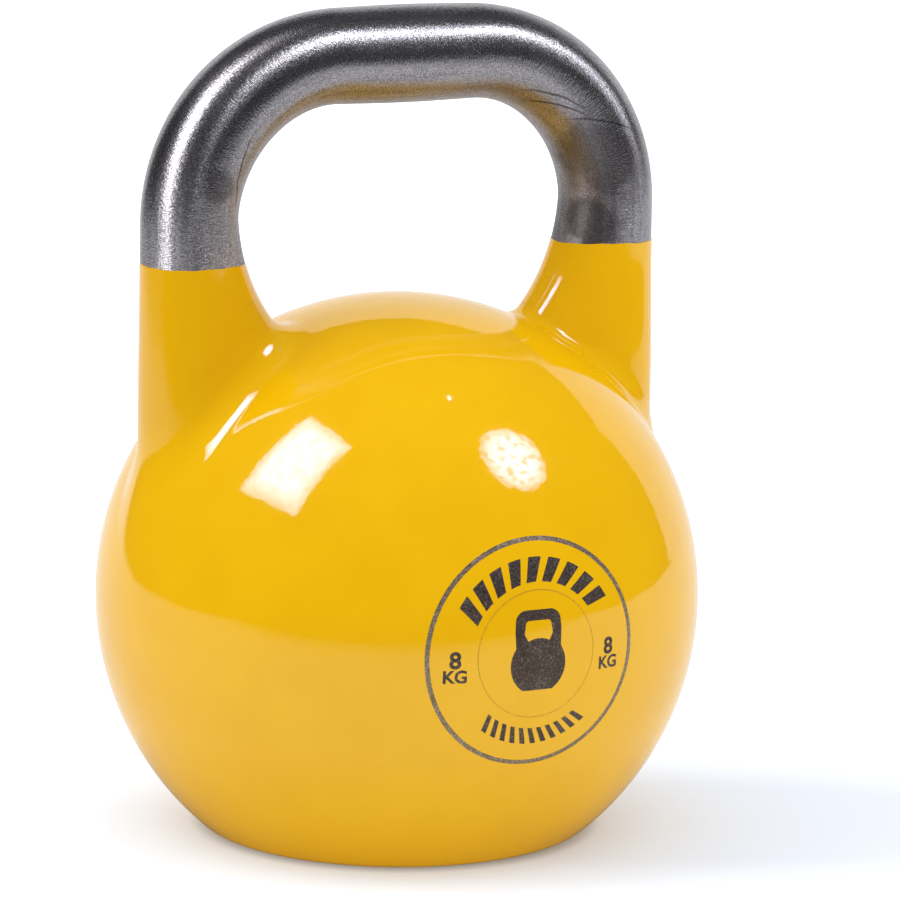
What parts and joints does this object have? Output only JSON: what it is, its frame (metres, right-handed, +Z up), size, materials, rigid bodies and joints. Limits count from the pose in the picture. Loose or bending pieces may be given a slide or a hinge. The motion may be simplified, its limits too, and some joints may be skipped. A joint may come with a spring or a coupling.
{
  "type": "kettlebell",
  "caption": "Competition kettlebell: hollow steel ball on a flat base, two flared painted horns and a round bare steel handle bar, with a plugged calibration port underneath.",
  "frame": {"origin": "centre of the flat base, on the floor", "axes": "+X along the handle bar, -Y out of the side that carries the weight mark, +Z up"},
  "size_m": [0.21, 0.21, 0.2865],
  "materials": {
    "yellow_enamel": "gloss yellow stoved enamel, thick and slightly orange-peeled",
    "bare_steel": "bare, fine-grained blasted and rubbed steel, dark grey with bright streaks",
    "plain_steel": "as-machined mild steel",
    "zinc_plated_steel": "bright zinc plate",
    "seal_rubber": "matt black nitrile rubber"
  },
  "bodies": {
    "root": {"upper_shell": "yellow_enamel", "lower_shell": "yellow_enamel", "seam_backing_ring": "plain_steel", "horn_left": "yellow_enamel", "horn_right": "yellow_enamel", "handle_dowel_left": "plain_steel", "handle_dowel_right": "plain_steel", "handle_bar": "bare_steel", "port_boss": "plain_steel", "port_plug": "zinc_plated_steel", "plug_seal": "seal_rubber", "trim_stud": "zinc_plated_steel", "trim_weight_1": "plain_steel", "trim_weight_2": "plain_steel", "trim_weight_3": "plain_steel", "trim_nut": "zinc_plated_steel"}
  },
  "joints": []
}
